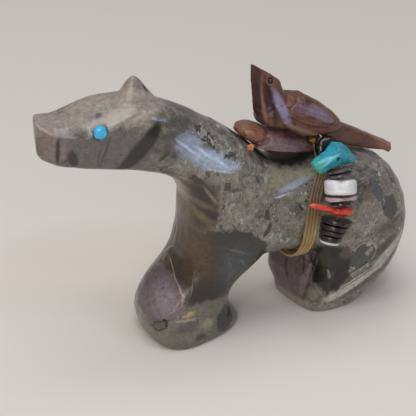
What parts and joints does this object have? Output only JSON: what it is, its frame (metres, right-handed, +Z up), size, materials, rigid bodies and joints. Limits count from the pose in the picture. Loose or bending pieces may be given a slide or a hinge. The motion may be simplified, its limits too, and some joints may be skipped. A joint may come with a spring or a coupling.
{
  "type": "carved stone horse fetish",
  "caption": "Small polished stone horse standing on two broad feet, with a bird and a blunt arrowhead tied on its back by sinew, and a string of beads on its flank.",
  "frame": {"origin": "middle of the bounding box's footprint, on the ground under the feet", "axes": "+Z up, the horse faces -X, its left flank with the bead string is towards -Y"},
  "size_m": [0.0734, 0.0272, 0.0549],
  "materials": {
    "breccia": "polished, mottled grey and brown with light veins",
    "turquoise": "polished",
    "pipestone": "polished red-brown",
    "red_stone": "flaked and rubbed red-brown",
    "jet": "glossy black",
    "orange_stone": "rough chip",
    "sinew": "translucent tan sinew",
    "mussel_shell": "thin ground shell",
    "shell": "polished white shell",
    "pink_shell": "ground pinkish shell",
    "coral": "polished red coral",
    "heishi": "ground dark shell"
  },
  "bodies": {
    "root": {"horse": "breccia", "eye_left": "turquoise", "eye_right": "turquoise", "bird": "pipestone", "bird_eye_left": "jet", "bird_eye_right": "jet", "arrowhead_stone": "red_stone", "chip_front": "orange_stone", "chip_back": "orange_stone", "sinew_1": "sinew", "sinew_2": "sinew", "sinew_3": "sinew", "sinew_4": "sinew", "bead_thread": "sinew", "turquoise_nugget": "turquoise", "coral_branch": "coral", "jet_bead": "jet", "shell_disc_1": "mussel_shell", "shell_disc_2": "mussel_shell", "white_bead": "shell", "pink_disc": "pink_shell", "black_disc": "jet", "heishi_1": "heishi", "heishi_2": "heishi", "heishi_3": "heishi", "heishi_4": "heishi", "end_disc": "shell"}
  },
  "joints": []
}
